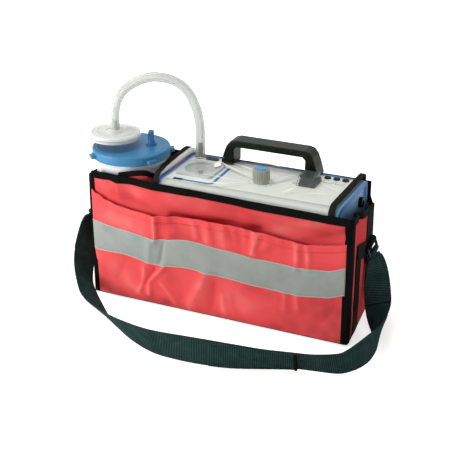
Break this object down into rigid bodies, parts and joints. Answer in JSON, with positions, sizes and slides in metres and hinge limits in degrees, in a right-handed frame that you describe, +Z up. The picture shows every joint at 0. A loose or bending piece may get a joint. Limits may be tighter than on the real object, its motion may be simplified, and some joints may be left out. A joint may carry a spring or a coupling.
{
  "type": "portable suction pump",
  "caption": "Battery suction pump in a soft carrying bag, with a lidded collection jar, filter and tube, vacuum gauge, regulator knob, rocker switch, carrying handle and shoulder strap.",
  "frame": {"origin": "on the ground, under the middle of the bag", "axes": "+X to the right of someone facing the front pocket, with the jar at -X; +Y to the back; +Z up"},
  "size_m": [0.4938, 0.2714, 0.3262],
  "materials": {
    "red_nylon": "woven nylon with a coated back",
    "reflective_tape": "retroreflective tape",
    "black_webbing": "woven webbing",
    "clear_pvc": "clear soft sheet",
    "white_abs": "moulded satin",
    "blue_abs": "moulded satin",
    "panel_film": "printed film",
    "black_abs": "moulded satin",
    "grey_abs": "moulded satin",
    "clear_polycarbonate": "clear moulded",
    "lid_blue": "moulded, slightly see-through",
    "spout_blue": "moulded",
    "silicone": "clear extruded",
    "filter_white": "moulded",
    "rubber": "moulded",
    "steel": "plated",
    "aluminium": "cast",
    "circuit_green": "solder mask"
  },
  "bodies": {
    "pump": {"bag_front_panel": "red_nylon", "bag_back_panel": "red_nylon", "bag_left_panel": "red_nylon", "bag_right_panel": "red_nylon", "bag_bottom": "black_webbing", "bag_divider": "red_nylon", "front_pocket": "red_nylon", "reflective_band": "reflective_tape", "clear_cover": "clear_pvc", "shoulder_strap": "black_webbing", "strap_tab_left": "black_webbing", "strap_tab_right": "black_webbing", "strap_ring_left": "steel", "strap_ring_right": "steel", "case_body": "white_abs", "base_plate": "black_abs", "left_end_cap": "blue_abs", "right_end_cap": "blue_abs", "panel_overlay": "panel_film", "carry_handle": "black_abs", "gauge_case": "grey_abs", "gauge_dial": "panel_film", "gauge_lens": "clear_polycarbonate", "regulator_valve": "aluminium", "switch_frame": "black_abs", "switch_cover": "clear_pvc", "lamp_bezel_1": "black_abs", "lamp_bezel_2": "black_abs", "lamp_bezel_3": "black_abs", "lamp_lens_1": "clear_polycarbonate", "lamp_lens_2": "clear_polycarbonate", "lamp_lens_3": "clear_polycarbonate", "vacuum_port": "black_abs", "exhaust_grommet": "rubber", "dc_socket": "black_abs", "motor_can": "steel", "diaphragm": "rubber", "crankcase": "aluminium", "pump_head": "aluminium", "internal_hose": "silicone", "battery_pack": "grey_abs", "battery_bracket": "steel", "circuit_board": "circuit_green", "jar": "clear_polycarbonate", "lid_seal": "rubber", "jar_lid": "lid_blue", "patient_port": "spout_blue", "float_cage": "filter_white", "filter_lower": "filter_white", "filter_membrane": "filter_white", "filter_upper": "filter_white", "suction_tube": "silicone"},
    "knob": {"regulator_knob": "grey_abs", "knob_cap": "lid_blue"},
    "rocker": {"switch_rocker": "black_abs"},
    "pointer": {"gauge_pointer": "black_abs"},
    "crank": {"motor_shaft": "steel"},
    "rod": {"con_rod": "aluminium"},
    "float": {"overflow_float": "filter_white"}
  },
  "joints": [
    {"name": "knob_turn", "type": "hinge", "parent": "pump", "child": "knob", "pos_m": [0.053, -0.0075, 0.1962], "axis": [0, 0, 1], "range_deg": [0, 270]},
    {"name": "rocker_tilt", "type": "hinge", "parent": "pump", "child": "rocker", "pos_m": [0.115, 0.0165, 0.199], "axis": [1, 0, 0], "range_deg": [-16, 0]},
    {"name": "pointer_turn", "type": "hinge", "parent": "pump", "child": "pointer", "pos_m": [-0.044, 0, 0.1916], "axis": [0, 0, 1], "range_deg": [0, 270], "stiffness_Nm_per_rad": 0.0005},
    {"name": "motor_turn", "type": "hinge", "parent": "pump", "child": "crank", "pos_m": [-0.05, 0, 0.052], "axis": [1, 0, 0], "continuous": true, "deforming": ["diaphragm"]},
    {"name": "rod_turn", "type": "hinge", "parent": "crank", "child": "rod", "pos_m": [-0.054, 0, 0.055], "axis": [1, 0, 0], "continuous": true},
    {"name": "float_rise", "type": "slide", "parent": "pump", "child": "float", "axis": [0, 0, 1], "range_m": [0, 0.018]}
  ],
  "couplings": [
    {"joint": "rod_turn", "follows": "motor_turn", "ratio": -1}
  ]
}
